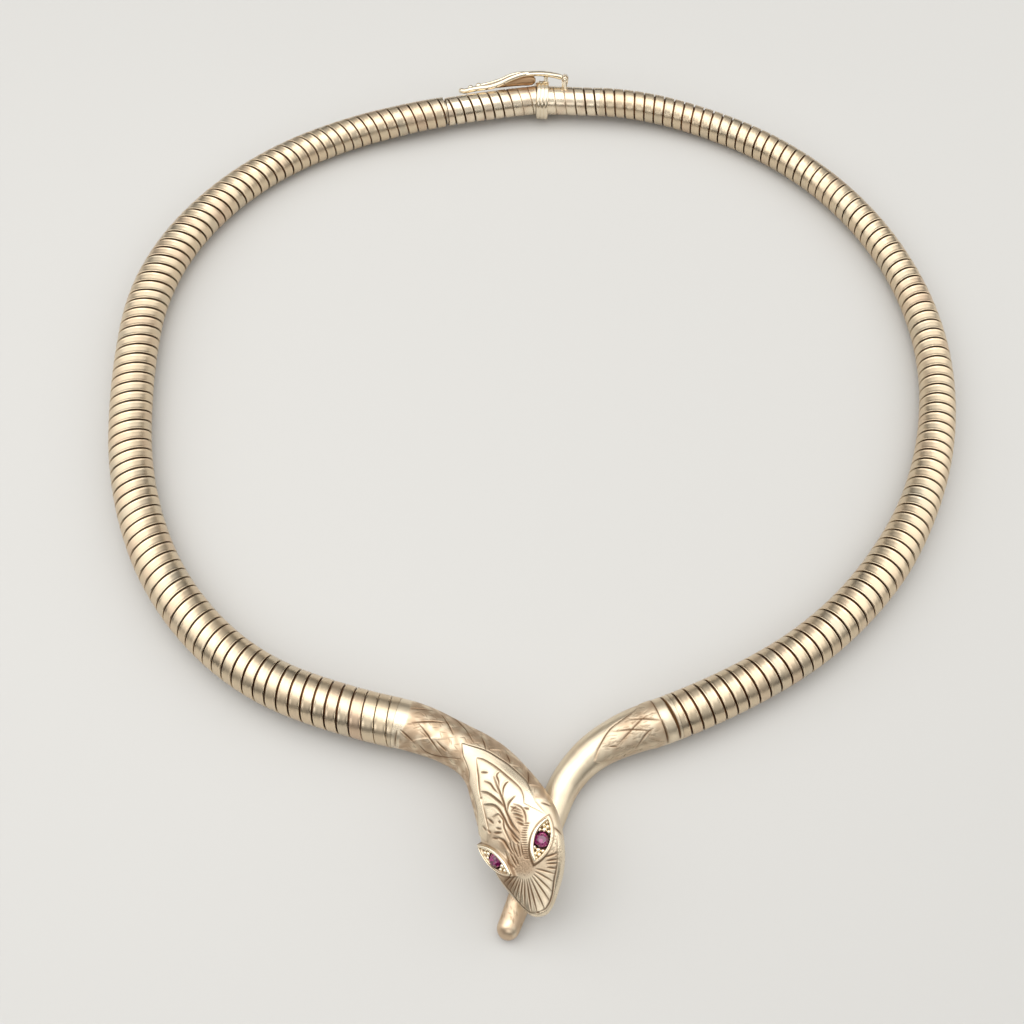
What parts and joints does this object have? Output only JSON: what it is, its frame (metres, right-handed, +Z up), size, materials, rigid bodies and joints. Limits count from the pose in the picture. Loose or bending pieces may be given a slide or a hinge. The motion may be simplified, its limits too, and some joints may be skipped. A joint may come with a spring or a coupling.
{
  "type": "snake collar necklace",
  "caption": "Flexible collar of wound gold strip tapering to a hinged lever clasp, with an engraved snake's head, ruby eyes and a pointed tail that crosses under it.",
  "frame": {"origin": "centre of the base of the box round the collar, on the surface it lies on", "axes": "+Z up from the surface, +Y from the head to the clasp, +X to the right as seen from the head's end"},
  "size_m": [0.1437, 0.1596, 0.0124],
  "materials": {
    "gold": "pale nine carat gold, polished and softly worn",
    "dark_gold": "pale nine carat gold, dull and dark between the turns",
    "ruby": "round cut purplish red stone"
  },
  "bodies": {
    "collar": {"chain_tail_side": "gold", "chain_head_side": "gold", "inner_strip_tail_side": "dark_gold", "inner_strip_head_side": "dark_gold", "head": "gold", "ruby_left": "ruby", "ruby_right": "ruby", "tail": "gold", "clasp_socket": "gold", "clasp_tongue": "gold", "hinge_pin": "gold"},
    "lever": {"clasp_lever": "gold"}
  },
  "joints": [
    {"name": "lever_hinge", "type": "hinge", "parent": "collar", "child": "lever", "pos_m": [0.00635, 0.07806, 0.00678], "axis": [0.0334, 0.7653, -0.6428], "range_deg": [0, 100]}
  ]
}
